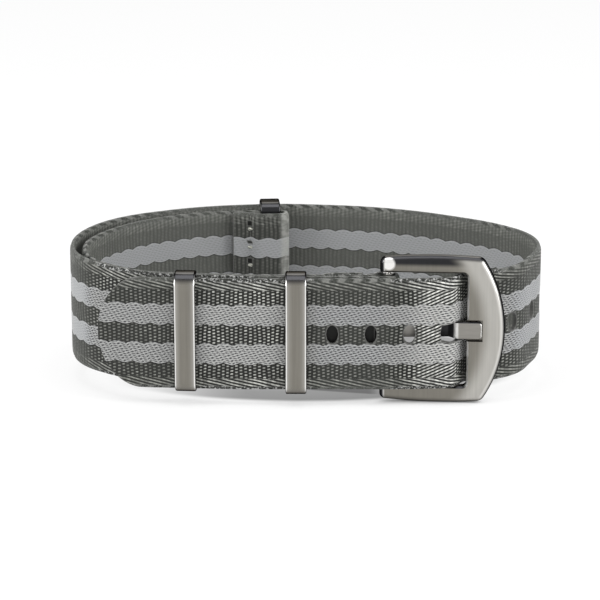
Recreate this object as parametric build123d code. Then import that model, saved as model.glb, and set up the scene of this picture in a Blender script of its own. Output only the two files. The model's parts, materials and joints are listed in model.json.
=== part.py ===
from build123d import *
import math
import os

# A buckled nylon watch strap of the pass-through pattern, lying on its edge, in millimetres.
# X runs along the front of the loop, Y from the front to the back, Z across the webbing.
# While the pieces are made, the pin side of the front webbing is at Y zero and mid-width at Z zero.

# Webbing
webbing_width = 19.8
webbing_thickness = 1.0
layer_gap = 0.1
front_layers = 3
soft_clearance = 0.3

# Loop round the wrist, measured on the middle of the webbing
loop_width = 82.0
loop_depth = 43.2
loop_shares = [
    (-0.349, 0.027), (-0.475, 0.198), (-0.497, 0.434), (-0.461, 0.651), (-0.378, 0.823),
    (-0.235, 0.949), (-0.057, 1.0), (0.114, 0.978), (0.266, 0.885), (0.401, 0.724),
    (0.486, 0.555), (0.506, 0.358), (0.451, 0.121),
]
arc_share = 0.49
front_bend_radius = 40.0
side_slack = 2.0
slack_shares = [0.0, 0.0, 0.4, 0.5, 1.0, 1.0]

# Places along the front, measured from the spring bar
buckle_place = 14.5
near_keeper_reach = 15.8
far_keeper_reach = 34.7
tail_reach = 49.7
front_bend_reach = 25.0

# Fold round the spring bar and the end of the short strap that is sewn under it
fold_flap_length = 9.0
fold_ramp_length = 2.4
fold_ramp_start = 1.2
fold_seam_reach = 5.6
short_end_reach = 4.3
short_ramp_reach = 9.9
short_ramp_length = 1.7
short_seam_reach = 20.6
ramp_radius = 2.0

# Tail and its holes
tail_tip_length = 7.8
tail_lift_angle = 6.0
tail_end_run = 8.6
tail_bend_radius = 20.0
hole_length = 2.1
hole_height = 3.0
hole_pitch = 6.6
hole_count = 9
holes_past_tongue_count = 4
descent_length = 5.4
descent_start = 0.4
descent_radius = 3.0
under_bar_clearance = 0.5
under_bar_run = 4.2

# Buckle frame
frame_window_length = 13.6
frame_side_gap = 0.3
frame_end_rim = 2.5
frame_arm_rim = 3.0
frame_shoulder_rim = 2.7
frame_bulge_share = 0.55
frame_bar_width = 6.5
frame_shoulder_inset = 3.9
frame_shoulder_radius = 1.6
frame_arm_end = 1.4
frame_arm_end_share = 0.43
frame_thickness = 1.7
frame_rise_angle = 3.6
frame_corner_radius = 0.8
frame_edge_radius = 1.0
frame_bevel = 0.3
frame_bevel_angle = 45
pivot_depth = 1.6

# Tongue
tongue_width = 3.0
tongue_thickness = 0.85
tongue_seat_reach = 2.5
tongue_seat_lead = 1.65
tongue_rise_length = 1.35
tongue_dip = 0.8
tongue_bend_radius = 0.9
tongue_tip_radius = 0.6
tongue_bevel = 0.12
tongue_seat_gap = 0.1
notch_length = 2.7
notch_depth = 0.85
notch_side_gap = 0.45
tongue_slot_length = 3.8
tongue_slot_shift = -0.5

# Spring bar
barrel_radius = 0.9
barrel_bore_radius = 0.62
barrel_lip_radius = 0.47
barrel_lip_length = 0.5
barrel_end_gap = 0.3
tip_radius = 0.42
tip_engagement = 1.2
collar_radius = 0.57
collar_length = 1.5
spring_wire_radius = 0.09
spring_turns = 20
spring_end_gap = 0.03
running_gap = 0.05
tip_bevel = 0.12

# Keepers
keeper_width = 3.6
keeper_strip = 0.7
keeper_inner_radius = 0.5
keeper_edge_radius = 0.3
rear_keeper_shift = 1.6
rear_keeper_corner_count = 6
rear_bar_gap = 0.35
rear_lead_run = 11.0
rear_lead_radius = 18.0
rear_ramp_gap = 0.3
rear_ramp_length = 1.4
rear_flap_length = 3.2
rear_seam_inset = 0.8

# Thread
thread_size = 0.3
stitch_length = 1.7
stitch_pitch = 2.3
stitch_count = 8
seam_row_gap = 1.5

# Sizes that follow
half = 0.5
overrun = 1.0
shortest_run = 0.001
up = Vector(0, 0, 1)
layer = webbing_thickness + layer_gap
fold_radius = barrel_radius + layer_gap + webbing_thickness * half
pin = Vector(buckle_place, fold_radius, 0)
keeper_depth = webbing_thickness + layer * (front_layers - 1) + soft_clearance * 2
keeper_height = webbing_width + soft_clearance * 2
frame_window_height = webbing_width + frame_side_gap * 2
barrel_length = frame_window_height - barrel_end_gap * 2
front_bend = (buckle_place - front_bend_reach, 0)
loop_corners = [(loop_width * across, loop_depth * deep) for across, deep in loop_shares]


def turn_at(before, corner, after):
    """Signed turn of a route at a corner, in radians, positive to the left."""
    first = math.atan2(corner[1] - before[1], corner[0] - before[0])
    second = math.atan2(after[1] - corner[1], after[0] - corner[0])
    return math.remainder(second - first, math.tau)


def corner_radii(points, fixed):
    """Radius of each inner corner: the fixed one, or as large as its two runs allow."""
    radii = []
    for index in range(1, len(points) - 1):
        before, corner, after = points[index - 1:index + 2]
        turn = abs(turn_at(before, corner, after))
        run = min(math.dist(before, corner), math.dist(corner, after))
        radii.append(fixed.get(index, arc_share * run / math.tan(turn * half)))
    return radii


def shifted(points, shifts):
    """Route moved to the left of travel by one shift for each point, with mitred corners."""
    moved = []
    last = len(points) - 1
    for index, (point, shift) in enumerate(zip(points, shifts)):
        start = points[index - 1] if index else point
        end = point if index else points[1]
        heading = math.atan2(end[1] - start[1], end[0] - start[0])
        inner = 0 < index < last
        turn = turn_at(*points[index - 1:index + 2]) if inner else 0
        side = heading + (turn + math.pi) * half
        reach = shift / math.cos(turn * half)
        moved.append((point[0] + reach * math.cos(side), point[1] + reach * math.sin(side)))
    return moved


def heading_from(start, end):
    """Direction from one point of a route to another, in radians."""
    return math.atan2(end[1] - start[1], end[0] - start[0])


def stepped(point, heading, distance):
    """Point at a distance in a heading."""
    return (point[0] + distance * math.cos(heading), point[1] + distance * math.sin(heading))


def route_edges(points, radii, shift):
    """One long side of a strip, or its middle line: straight runs joined by tangent arcs."""
    corners = shifted(points, [shift] * len(points))
    edges = []
    start = corners[0]
    for index, radius in enumerate(radii, start=1):
        before, corner, after = corners[index - 1:index + 2]
        turn = turn_at(before, corner, after)
        edge_radius = radius - math.copysign(shift, shift * turn)
        tangent = edge_radius * math.tan(abs(turn) * half)
        entry = stepped(corner, heading_from(corner, before), tangent)
        leave = stepped(corner, heading_from(corner, after), tangent)
        bulge = edge_radius / math.cos(turn * half) - edge_radius
        inward = heading_from(before, corner) + turn * half + math.copysign(math.pi * half, turn)
        if math.dist(start, entry) > shortest_run:
            edges.append(Line(start, entry))
        edges.append(ThreePointArc(entry, stepped(corner, inward, bulge), leave))
        start = leave
    edges.append(Line(start, corners[-1]))
    return edges


def strip(points, radii, thickness, height):
    """Strip of even thickness along a route, standing on its edge about mid-width."""
    left = route_edges(points, radii, thickness * half)
    right = route_edges(points, radii, -thickness * half)
    caps = [Line(left[0] @ 0, right[0] @ 0), Line(left[-1] @ 1, right[-1] @ 1)]
    face = make_face([*left, *right, *caps])
    return extrude(face, amount=height * half, both=True)


def corner_station(points, radii, wanted):
    """Distance along a route to the middle of the arc at one of its corners."""
    distance = 0
    tangent_before = 0
    for index in range(1, wanted + 1):
        turn = abs(turn_at(*points[index - 1:index + 2]))
        tangent = radii[index - 1] * math.tan(turn * half)
        arc = radii[index - 1] * turn
        distance += math.dist(points[index - 1], points[index]) - tangent_before - tangent
        distance += arc * half if index == wanted else arc
        tangent_before = tangent
    return distance


def place_on(route, distance):
    """Plane on a route: X along travel, Y to the outside of the loop, Z across the webbing."""
    share = distance / route.length
    return Plane(origin=route @ share, x_dir=route % share, z_dir=up)


def block(plane, x_span, y_span, z_span):
    """Box between two distances along each direction of a plane."""
    spans = (x_span, y_span, z_span)
    middle = [(low + high) * half for low, high in spans]
    return plane * Pos(*middle) * Box(*[high - low for low, high in spans])


# Directions and places that the pieces share
lean = heading_from(front_bend, loop_corners[0])
rise = math.radians(frame_rise_angle)
frame_plane = Plane(
    origin=pin,
    x_dir=Vector(math.cos(rise), -math.sin(rise), 0),
    z_dir=Vector(-math.sin(rise), -math.cos(rise), 0),
)
near_plane = Plane(origin=(buckle_place - near_keeper_reach, 0), x_dir=(-1, 0, 0), z_dir=up)
far_place = stepped(front_bend, lean, far_keeper_reach - front_bend_reach)
far_plane = Plane(origin=far_place, x_dir=(math.cos(lean), math.sin(lean), 0), z_dir=up)

# Route of the main strap, from the end of its fold to the tip of its tail
window_edge = frame_plane.from_local_coords(Vector(frame_window_length, 0, 0))
under_bar_depth = (window_edge.Y + frame_thickness * half + under_bar_clearance
                   + webbing_thickness * half)
descent_foot = (window_edge.X - descent_start, under_bar_depth)
descent_top = (descent_foot[0] - descent_length, -layer)
fold_corners = [
    (buckle_place - fold_flap_length, layer),
    (buckle_place - fold_ramp_start - fold_ramp_length, layer),
    (buckle_place - fold_ramp_start, fold_radius * 2),
    (buckle_place + fold_radius, fold_radius * 2),
    (buckle_place + fold_radius, 0),
]
under_bar_corners = [(descent_foot[0] + under_bar_run, under_bar_depth), descent_foot]
tail_bend = shifted([(buckle_place, 0), front_bend, loop_corners[0]], [layer] * 3)[1]
tail_run = (tail_reach - front_bend_reach) / -math.cos(lean) - tail_end_run
tail_knee = stepped(tail_bend, lean, tail_run)
tail_heading = lean - math.radians(tail_lift_angle)
tail_tip = stepped(tail_knee, tail_heading, tail_end_run)
main_points = (fold_corners + [front_bend] + loop_corners + under_bar_corners
               + [descent_top, tail_bend, tail_knee, tail_tip])
front_bend_index = len(fold_corners)
foot_index = front_bend_index + len(loop_corners) + len(under_bar_corners)
top_index = foot_index + 1
main_radii = corner_radii(main_points, {
    1: ramp_radius, 2: ramp_radius, 3: fold_radius, 4: fold_radius,
    front_bend_index: front_bend_radius,
    foot_index: descent_radius, top_index: descent_radius,
    top_index + 1: front_bend_radius, top_index + 2: tail_bend_radius,
})
main_route = Wire(route_edges(main_points, main_radii, 0))
tongue_station = half * (corner_station(main_points, main_radii, foot_index)
                         + corner_station(main_points, main_radii, top_index))

# Rear keeper and the wrap of the short strap round its inner bar
rear_index = front_bend_index + 1 + rear_keeper_corner_count
rear_station = corner_station(main_points, main_radii, rear_index) - rear_keeper_shift
rear_plane = place_on(main_route, rear_station)
rear_shift = webbing_thickness * half + rear_bar_gap - keeper_depth * half
rear_bar_depth = rear_shift - (keeper_depth + keeper_strip) * half
wrap_radius = keeper_strip * half + soft_clearance + webbing_thickness * half
wrap_end = keeper_width * half + wrap_radius
wrap_start = -keeper_width * half - rear_ramp_gap
sewn_depth = rear_bar_depth + wrap_radius - layer
rear_corners = [
    (-rear_lead_run, rear_bar_depth + wrap_radius),
    (wrap_end, rear_bar_depth + wrap_radius),
    (wrap_end, rear_bar_depth - wrap_radius),
    (wrap_start, rear_bar_depth - wrap_radius),
    (wrap_start - rear_ramp_length, sewn_depth),
    (wrap_start - rear_ramp_length - rear_flap_length, sewn_depth),
]

# Route of the short strap, from its end under the fold to its flap at the rear keeper
inside = [-layer - side_slack * share for share in slack_shares]
guide = [(buckle_place, 0), front_bend] + loop_corners[:len(slack_shares)]
short_front = [
    (buckle_place - short_end_reach, layer * 2),
    (buckle_place - short_ramp_reach, layer * 2),
    (buckle_place - short_ramp_reach - short_ramp_length, layer),
]
short_side = shifted(guide, [0] + inside + [0])[1:-1]
short_rear = [tuple(rear_plane.from_local_coords(Vector(*point, 0)))[:2]
              for point in rear_corners]
short_points = short_front + short_side + short_rear
wrap_index = len(short_front) + len(short_side) + 1
short_radii = corner_radii(short_points, {
    1: ramp_radius, 2: ramp_radius, 3: front_bend_radius,
    wrap_index - 1: rear_lead_radius,
    wrap_index: wrap_radius, wrap_index + 1: wrap_radius,
    wrap_index + 2: ramp_radius * half, wrap_index + 3: ramp_radius * half,
})


def seam(plane, outer, inner, rows):
    """Rows of thread loops through a stack of webbing, between two distances along Y."""
    stitches = []
    first = -stitch_pitch * (stitch_count - 1) * half
    for row in rows:
        for index in range(stitch_count):
            middle = first + stitch_pitch * index
            low = middle - stitch_length * half
            high = middle + stitch_length * half
            across = (row - thread_size * half, row + thread_size * half)
            loop = block(plane, across, (inner, outer), (low, high))
            loop -= block(plane, across, (inner + thread_size, outer - thread_size),
                          (low + thread_size, high - thread_size))
            stitches.append(loop)
    return Compound(stitches)


def keeper(plane, shift):
    """Metal keeper: a flat strip bent into a closed rectangle round the layers of webbing."""
    outer = RectangleRounded(keeper_depth + keeper_strip * 2, keeper_height + keeper_strip * 2,
                             keeper_inner_radius + keeper_strip)
    inner = RectangleRounded(keeper_depth, keeper_height, keeper_inner_radius)
    ring = extrude(Plane.YZ * (outer - inner), amount=keeper_width * half, both=True)
    rims = ring.faces().filter_by(Axis.X).edges()
    return plane * Pos(0, shift, 0) * fillet(rims, keeper_edge_radius)


def main_strap(seams):
    """Long strap with its sewn fold, the tongue's slot, the holes and the rounded tail."""
    strap = strip(main_points, main_radii, webbing_thickness, webbing_width)
    roll = barrel_radius + running_gap + tongue_thickness + soft_clearance
    fold_slot = block(Plane(origin=pin), (-roll, roll), (-roll, roll),
                      (-tongue_width * half - soft_clearance, tongue_width * half + soft_clearance))
    strap -= fold_slot
    cut = webbing_thickness * half + layer_gap * half
    for index in range(hole_count):
        station = tongue_station - (index - holes_past_tongue_count) * hole_pitch
        plane = place_on(main_route, station)
        if index == holes_past_tongue_count:
            reach = tongue_slot_length * half
            strap -= block(plane, (tongue_slot_shift - reach, tongue_slot_shift + reach), (-cut, cut),
                           (-tongue_width * half - soft_clearance,
                            tongue_width * half + soft_clearance))
            continue
        face = plane * Plane.XZ * Ellipse(hole_length * half, hole_height * half)
        strap -= extrude(face, amount=cut, both=True)
    end = Plane(origin=tail_tip, x_dir=(math.cos(tail_heading), math.sin(tail_heading), 0), z_dir=up)
    outline = Rectangle(tail_tip_length * 2, webbing_width + overrun * 2)
    outline -= Pos(-tail_tip_length, 0) * Ellipse(tail_tip_length, webbing_width * half)
    outline -= Pos(-tail_tip_length, 0) * Rectangle(
        tail_tip_length, webbing_width + overrun * 2, align=(Align.MAX, Align.CENTER))
    corner_cut = extrude(end * Plane.XZ * outline, amount=webbing_thickness, both=True)
    strap -= corner_cut
    for thread in seams:
        strap -= thread
    return strap


def short_strap(seams):
    """Short strap that holds the rear keeper, wrapped round its inner bar and sewn back."""
    strap = strip(short_points, short_radii, webbing_thickness, webbing_width)
    for thread in seams:
        strap -= thread
    return strap


def buckle_frame():
    """Flat frame with two arms, a curved bar and a seat for the tongue's tip."""
    bar_reach = frame_window_length + frame_bar_width
    shoulder = bar_reach - frame_shoulder_inset
    end = frame_window_height * half + frame_end_rim
    crest = frame_window_height * half + frame_arm_rim
    corner = frame_window_height * half + frame_shoulder_rim
    crest_place = shoulder * frame_bulge_share
    outline = make_face([
        ThreePointArc((-frame_arm_end, end), (crest_place, crest), (shoulder, corner)),
        ThreePointArc((shoulder, corner), (bar_reach, 0), (shoulder, -corner)),
        ThreePointArc((shoulder, -corner), (crest_place, -crest), (-frame_arm_end, -end)),
        Line((-frame_arm_end, -end), (-frame_arm_end, end)),
    ])
    outline = fillet(outline.vertices().sort_by(Axis.X)[-2:], frame_shoulder_radius)
    outline = fillet(outline.vertices().sort_by(Axis.X)[:2], frame_end_rim * frame_arm_end_share)
    frame = extrude(outline, amount=frame_thickness * half, both=True)
    frame = fillet(frame.faces().sort_by(Axis.Z)[-1].edges(), frame_edge_radius)
    frame = fillet(frame.faces().sort_by(Axis.Z)[0].edges(), frame_bevel)
    window = RectangleRounded(frame_window_length * 2, frame_window_height, frame_corner_radius)
    frame -= extrude(window, amount=frame_thickness, both=True)
    flare = Pos(0, 0, frame_thickness * half - frame_bevel) * window
    frame -= extrude(flare, amount=frame_bevel * 2, taper=-frame_bevel_angle)
    side = tongue_width * half + notch_side_gap
    top = frame_thickness * half
    frame -= block(Plane.XY, (frame_window_length - overrun, frame_window_length + notch_length),
                   (-side, side), (top - notch_depth, top + overrun))
    frame = frame_plane * frame
    bore = Pos(pin) * Cylinder(tip_radius + running_gap, frame_window_height + pivot_depth * 2)
    return frame - bore


def buckle_tongue():
    """Tongue rolled round the spring bar, running under the tail to its seat on the bar."""
    roll = barrel_radius + running_gap + tongue_thickness
    seat = frame_thickness * half - notch_depth + tongue_seat_gap + tongue_thickness * half
    rise_end = frame_window_length - tongue_seat_lead
    points = [(barrel_radius + running_gap + tongue_thickness * half, 0),
              (rise_end - tongue_rise_length, -tongue_dip), (rise_end, seat),
              (frame_window_length + tongue_seat_reach, seat)]
    blade = strip(points, [tongue_bend_radius] * 2, tongue_thickness, tongue_width)
    tip_edges = blade.edges().filter_by(Axis.Y).group_by(Axis.X)[-1]
    blade = fillet(tip_edges, tongue_tip_radius)
    blade = chamfer(blade.faces().filter_by(Axis.Z).edges(), tongue_bevel)
    side = Plane(origin=pin, x_dir=frame_plane.x_dir, z_dir=up * -1)
    ring = Cylinder(roll, tongue_width) - Cylinder(barrel_radius + running_gap, tongue_width + overrun)
    return side * (blade + ring - Cylinder(barrel_radius + running_gap, tongue_width + overrun))


def spring_bar_barrel():
    """Tube of the spring bar, with its ends crimped in over the plungers' collars."""
    barrel = Cylinder(barrel_radius, barrel_length)
    barrel -= Cylinder(barrel_lip_radius, barrel_length + overrun)
    barrel -= Cylinder(barrel_bore_radius, barrel_length - barrel_lip_length * 2)
    return Pos(pin) * barrel


collar_top = barrel_length * half - barrel_lip_length - running_gap
collar_foot = collar_top - collar_length


def spring_bar_plunger(sign):
    """One plunger: a collar inside the barrel and a tip that seats in an arm of the frame."""
    tip_end = frame_window_height * half + tip_engagement
    tip = Pos(0, 0, collar_top) * Cylinder(tip_radius, tip_end - collar_top,
                                           align=(Align.CENTER, Align.CENTER, Align.MIN))
    tip = chamfer(tip.edges().sort_by(Axis.Z)[-1], tip_bevel)
    collar = Pos(0, 0, collar_foot) * Cylinder(collar_radius, collar_length,
                                               align=(Align.CENTER, Align.CENTER, Align.MIN))
    plunger = tip + collar
    if sign < 0:
        plunger = mirror(plunger, about=Plane.XY)
    return Pos(pin) * plunger


def spring_bar_spring():
    """Compression spring between the two plungers' collars."""
    reach = collar_foot - spring_end_gap - spring_wire_radius
    coil_radius = barrel_bore_radius - running_gap - spring_wire_radius
    coil = Helix(pitch=reach * 2 / spring_turns, height=reach * 2, radius=coil_radius)
    section = Plane(origin=coil @ 0, z_dir=coil % 0) * Circle(spring_wire_radius)
    return Pos(pin) * Pos(0, 0, -reach) * sweep(section, path=coil, is_frenet=True)


face_out = webbing_thickness * half
fold_seam_plane = Plane(origin=(buckle_place - fold_seam_reach, 0), x_dir=(-1, 0, 0), z_dir=up)
short_seam_plane = Plane(origin=(buckle_place - short_seam_reach, 0), x_dir=(-1, 0, 0), z_dir=up)
rows = [0, seam_row_gap]
fold_seam = seam(fold_seam_plane, face_out, -layer * 2 - face_out, rows)
short_seam = seam(short_seam_plane, face_out, -layer - face_out, rows)
rear_row = wrap_start - rear_ramp_length - rear_seam_inset
rear_seam = seam(rear_plane, sewn_depth + layer + face_out, sewn_depth - face_out,
                 [rear_row, rear_row - seam_row_gap])

nodes = {
    "main_strap": main_strap([fold_seam, short_seam]),
    "short_strap": short_strap([fold_seam, short_seam, rear_seam]),
    "seam_buckle_fold": fold_seam,
    "seam_short_strap": short_seam,
    "seam_rear_fold": rear_seam,
    "buckle_frame": buckle_frame(),
    "buckle_tongue": buckle_tongue(),
    "spring_bar_barrel": spring_bar_barrel(),
    "spring_bar_plunger_top": spring_bar_plunger(1),
    "spring_bar_plunger_bottom": spring_bar_plunger(-1),
    "spring_bar_spring": spring_bar_spring(),
    "keeper_front_near": keeper(near_plane, 0),
    "keeper_front_far": keeper(far_plane, 0),
    "keeper_rear": keeper(rear_plane, rear_shift),
}

# The origin is the bottom centre of the whole strap
bounds = Compound(list(nodes.values())).bounding_box()
middle = bounds.center()
to_origin = Pos(-middle.X, -middle.Y, -bounds.min.Z)

os.makedirs("parts", exist_ok=True)
for name, solid in nodes.items():
    export_step(to_origin * solid, f"parts/{name}.step")
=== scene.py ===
"""Looks of a buckled watch strap of striped nylon webbing with brushed steel fittings.

The strap stands on its edge. The sizes in the classes are in millimetres, on the strap's own
plane: x runs along the front, y from the front to the back and z across the webbing, with the
front webbing at y zero and mid-width at z zero. The meshes are in metres, in the frame's place.
"""

from __future__ import annotations

import json
import logging
import math
from collections.abc import Callable
from dataclasses import dataclass, field
from enum import Enum

import bmesh
import bpy
from mathutils import Matrix, Vector

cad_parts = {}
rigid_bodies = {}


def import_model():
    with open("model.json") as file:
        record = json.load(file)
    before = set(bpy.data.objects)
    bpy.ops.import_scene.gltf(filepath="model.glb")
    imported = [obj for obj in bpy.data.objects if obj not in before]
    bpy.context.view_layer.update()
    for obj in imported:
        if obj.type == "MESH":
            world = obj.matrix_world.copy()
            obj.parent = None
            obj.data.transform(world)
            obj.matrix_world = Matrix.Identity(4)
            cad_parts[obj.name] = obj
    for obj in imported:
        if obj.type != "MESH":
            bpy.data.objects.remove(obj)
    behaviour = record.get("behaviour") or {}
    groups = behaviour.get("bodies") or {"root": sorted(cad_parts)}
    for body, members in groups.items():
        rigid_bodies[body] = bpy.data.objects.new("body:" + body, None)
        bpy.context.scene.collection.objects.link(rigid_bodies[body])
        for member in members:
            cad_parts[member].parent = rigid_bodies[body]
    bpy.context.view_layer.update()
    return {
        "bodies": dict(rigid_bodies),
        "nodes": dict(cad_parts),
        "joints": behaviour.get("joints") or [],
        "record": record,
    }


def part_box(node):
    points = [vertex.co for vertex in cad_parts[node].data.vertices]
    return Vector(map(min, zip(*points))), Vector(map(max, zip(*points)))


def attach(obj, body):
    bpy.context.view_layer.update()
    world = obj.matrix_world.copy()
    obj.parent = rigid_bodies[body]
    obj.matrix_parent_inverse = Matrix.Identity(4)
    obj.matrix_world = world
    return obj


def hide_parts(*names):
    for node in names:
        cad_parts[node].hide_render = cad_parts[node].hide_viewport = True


LOG = logging.getLogger("watch_strap")
MM = 0.001
LOOP_MIDDLE = 19.5

Point = tuple[float, float]
Triple = tuple[float, float, float]
Colour = Triple
Hump = tuple[float, float, float, float, float]


class Slot(Enum):
    """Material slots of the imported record."""

    WEBBING = "webbing"
    THREAD = "thread"
    STEEL = "steel"


class Part(Enum):
    """Kinds of mesh element that a bench can pick."""

    VERT = "VERT"
    EDGE = "EDGE"
    FACE = "FACE"


# Routes of the webbing


def heading(start: Point, end: Point) -> float:
    """Direction from one point of a route to another, in radians."""
    return math.atan2(end[1] - start[1], end[0] - start[0])


def stepped(point: Point, direction: float, distance: float) -> Point:
    """Point at a distance in a direction."""
    return (point[0] + distance * math.cos(direction), point[1] + distance * math.sin(direction))


def turn_at(before: Point, corner: Point, after: Point) -> float:
    """Signed turn of a route at a corner, in radians, positive to the left."""
    return math.remainder(heading(corner, after) - heading(before, corner), math.tau)


def beside(points: list[Point], shifts: list[float]) -> list[Point]:
    """Moves a route to the left of its travel, with mitred corners.

    Args:
        points: Corners of the route.
        shifts: Distance to move each corner by.

    Returns:
        The moved corners.
    """
    moved = []
    for index, (point, shift) in enumerate(zip(points, shifts)):
        start = points[index - 1] if index else point
        end = point if index else points[1]
        inner = 0 < index < len(points) - 1
        turn = turn_at(*points[index - 1:index + 2]) if inner else 0.0
        side = heading(start, end) + (turn + math.pi) / 2
        moved.append(stepped(point, side, shift / math.cos(turn / 2)))
    return moved


def eased(value: float, start: float, end: float) -> float:
    """Smooth step from 0 at one value to 1 at another."""
    share = min(max((value - start) / (end - start), 0.0), 1.0)
    return share * share * (3.0 - 2.0 * share)


def plateau(value: float, start: float, full: float, fade: float, end: float) -> float:
    """Smooth hump that rises from 0 to 1, stays, and falls back to 0."""
    return eased(value, start, full) - eased(value, fade, end)


def summed(value: float, humps: tuple[Hump, ...]) -> float:
    """Sum of humps, each given by its height and where it rises and falls."""
    return sum(height * plateau(value, *span) for height, *span in humps)


@dataclass(frozen=True)
class Bend:
    """One rounded corner of a route: where its arc starts and ends, and how it turns."""

    entry: Point
    leave: Point
    turn: float
    radius: float


@dataclass(frozen=True)
class Route:
    """Middle line of a strap seen on its edge: straight runs joined by arcs."""

    points: list[Point]
    radii: list[float]

    @classmethod
    def rounded(cls, points: list[Point], fixed: dict[int, float]) -> Route:
        """Makes a route whose free corners are as round as their runs allow.

        Args:
            points: Corners of the route.
            fixed: Radius of each corner that has a set one, by its number.

        Returns:
            The route.
        """
        radii = []
        for index in range(1, len(points) - 1):
            before, corner, after = points[index - 1:index + 2]
            run = min(math.dist(before, corner), math.dist(corner, after))
            roomy = 0.49 * run / math.tan(abs(turn_at(before, corner, after)) / 2)
            radii.append(fixed.get(index, roomy))
        return cls(points, radii)

    def bends(self) -> list[Bend]:
        """Arcs at the route's inner corners, in order."""
        found = []
        for index, radius in enumerate(self.radii, start=1):
            before, corner, after = self.points[index - 1:index + 2]
            turn = turn_at(before, corner, after)
            tangent = radius * math.tan(abs(turn) / 2)
            entry = stepped(corner, heading(corner, before), tangent)
            leave = stepped(corner, heading(corner, after), tangent)
            found.append(Bend(entry, leave, turn, radius))
        return found

    def station(self, corner: int) -> float:
        """Distance along the route to the middle of a corner's arc."""
        distance, last = 0.0, self.points[0]
        for bend in self.bends()[:corner]:
            arc = bend.radius * abs(bend.turn)
            distance += math.dist(last, bend.entry) + arc
            last = bend.leave
        return distance - arc / 2

    def length(self) -> float:
        """Whole length of the route."""
        return self.station(len(self.radii)) + self.after_middle(len(self.radii))

    def after_middle(self, corner: int) -> float:
        """Distance from the middle of the last corner's arc to the route's end."""
        bend = self.bends()[corner - 1]
        return bend.radius * abs(bend.turn) / 2 + math.dist(bend.leave, self.points[-1])

    def near_corner(self, corner: int, back: float) -> tuple[Point, float]:
        """Finds a place on a corner's arc, a little before its middle.

        Args:
            corner: Number of the corner.
            back: Distance before the middle of its arc.

        Returns:
            The point and the direction of travel there.
        """
        bend = self.bends()[corner - 1]
        travel = heading(self.points[corner - 1], self.points[corner])
        side = math.copysign(math.pi / 2, bend.turn)
        centre = stepped(bend.entry, travel + side, bend.radius)
        swept = bend.turn / 2 - math.copysign(back / bend.radius, bend.turn)
        return stepped(centre, travel - side + swept, bend.radius), travel + swept

    def path(self, name: str) -> bpy.types.Object:
        """Draws the route as a curve in the plane, in metres, for a strap to bend along.

        Args:
            name: Name of the curve.

        Returns:
            The curve's object.
        """
        knots: list[list[Point]] = [[self.points[0]] * 3]

        def straight_to(end: Point) -> None:
            """Adds a straight run from the last knot."""
            start = knots[-1][1]
            run = math.dist(start, end)
            if run > 1e-4:
                knots[-1][2] = stepped(start, heading(start, end), run / 3)
                knots.append([stepped(end, heading(end, start), run / 3), end, end])

        for index, bend in enumerate(self.bends(), start=1):
            straight_to(bend.entry)
            grip = 4 / 3 * math.tan(abs(bend.turn) / 4) * bend.radius
            corner = self.points[index]
            knots[-1][2] = stepped(bend.entry, heading(bend.entry, corner), grip)
            knots.append([stepped(bend.leave, heading(bend.leave, corner), grip),
                          bend.leave, bend.leave])
        straight_to(self.points[-1])
        curve = bpy.data.curves.new(name, "CURVE")
        curve.dimensions = "2D"
        curve.resolution_u = 32
        spline = curve.splines.new("BEZIER")
        spline.bezier_points.add(len(knots) - 1)
        for knot, (left, middle, right) in zip(spline.bezier_points, knots):
            knot.handle_left_type = knot.handle_right_type = "FREE"
            knot.handle_left = (left[0] * MM, left[1] * MM, 0)
            knot.co = (middle[0] * MM, middle[1] * MM, 0)
            knot.handle_right = (right[0] * MM, right[1] * MM, 0)
        piece = bpy.data.objects.new(name, curve)
        bpy.context.scene.collection.objects.link(piece)
        return piece


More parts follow.
